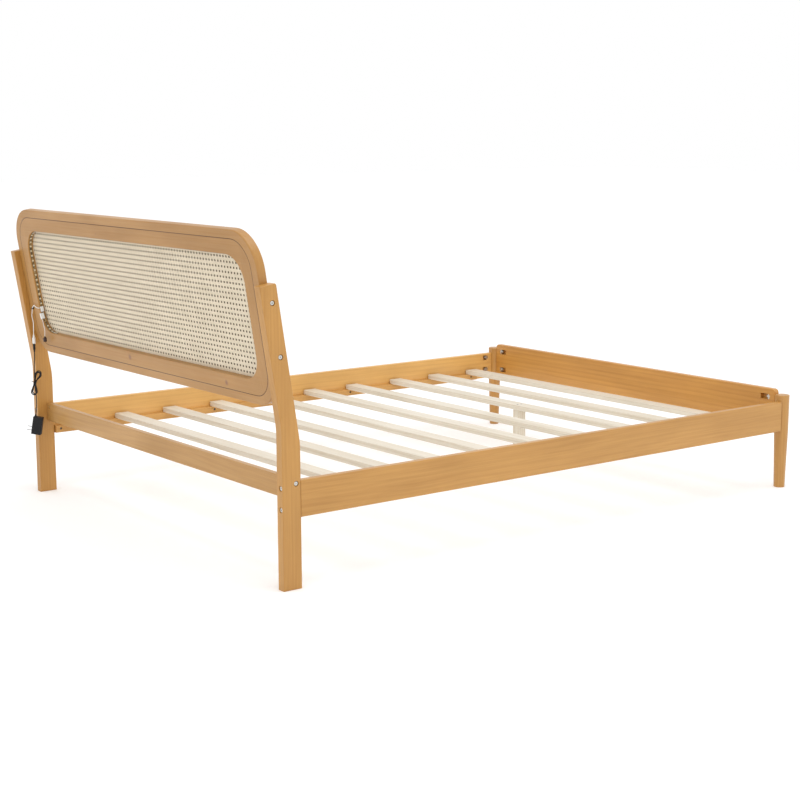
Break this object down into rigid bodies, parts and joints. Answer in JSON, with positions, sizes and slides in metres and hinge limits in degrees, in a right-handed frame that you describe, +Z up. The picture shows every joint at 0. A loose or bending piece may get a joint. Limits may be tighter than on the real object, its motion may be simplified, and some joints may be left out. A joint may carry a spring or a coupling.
{
  "type": "slatted platform bed",
  "caption": "Knock-down wooden slatted bed with a raked cane headboard, turned foot legs, open space below, and an LED light tape with its adapter on the headboard's back",
  "frame": {"origin": "on the floor under the middle of the bed, at the bottom centre of the object's box without the hanging lead", "axes": "+X to the right side seen from the foot end, the side where the LED lead hangs; +Y to the head end; +Z up"},
  "size_m": [1.6104, 2.209, 1.0031],
  "materials": {
    "pine": "satin clear coat on warm solid pine",
    "pale_pine": "bare pale sawn pine",
    "dowel_beech": "bare beech",
    "cane": "natural woven cane",
    "zinc_steel": "bright zinc plate",
    "black_steel": "black phosphate",
    "white_plastic": "glossy white",
    "led_tape": "flexible circuit tape",
    "smoked_plastic": "smoked infrared window",
    "black_plastic": "fine matte",
    "prong_metal": "nickel plate"
  },
  "bodies": {
    "root": {"adapter_prongs": "prong_metal", "cable_clip": "black_plastic", "cane_panel": "cane", "centre_leg": "pale_pine", "centre_leg_screws": "black_steel", "crossrail_bolts": "zinc_steel", "crossrail_dowels": "dowel_beech", "crossrail_nuts": "zinc_steel", "dc_plug": "black_plastic", "dc_socket": "white_plastic", "foot_leg_left": "pine", "foot_leg_right": "pine", "foot_nuts": "zinc_steel", "foot_studs": "zinc_steel", "footboard": "pine", "half_moon_washers": "zinc_steel", "hank_tie": "black_plastic", "head_crossrail": "pine", "head_post_left": "pine", "head_post_right": "pine", "headboard_back_ring": "pine", "headboard_frame": "pine", "ir_lead": "white_plastic", "ir_receiver": "smoked_plastic", "lead_hank": "black_plastic", "lead_lower": "black_plastic", "lead_upper": "black_plastic", "led_connector": "white_plastic", "led_controller": "white_plastic", "led_strip": "led_tape", "ledger_left": "pine", "ledger_right": "pine", "ledger_screws": "black_steel", "panel_bolts": "zinc_steel", "panel_inserts": "zinc_steel", "power_adapter": "black_plastic", "power_lead": "white_plastic", "rail_barrel_nuts": "zinc_steel", "rail_bolts": "zinc_steel", "side_rail_left": "pine", "side_rail_right": "pine", "slat_01": "pale_pine", "slat_02": "pale_pine", "slat_03": "pale_pine", "slat_04": "pale_pine", "slat_05": "pale_pine", "slat_06": "pale_pine", "slat_07": "pale_pine", "slat_08": "pale_pine", "slat_09": "pale_pine", "slat_10": "pale_pine"}
  },
  "joints": []
}
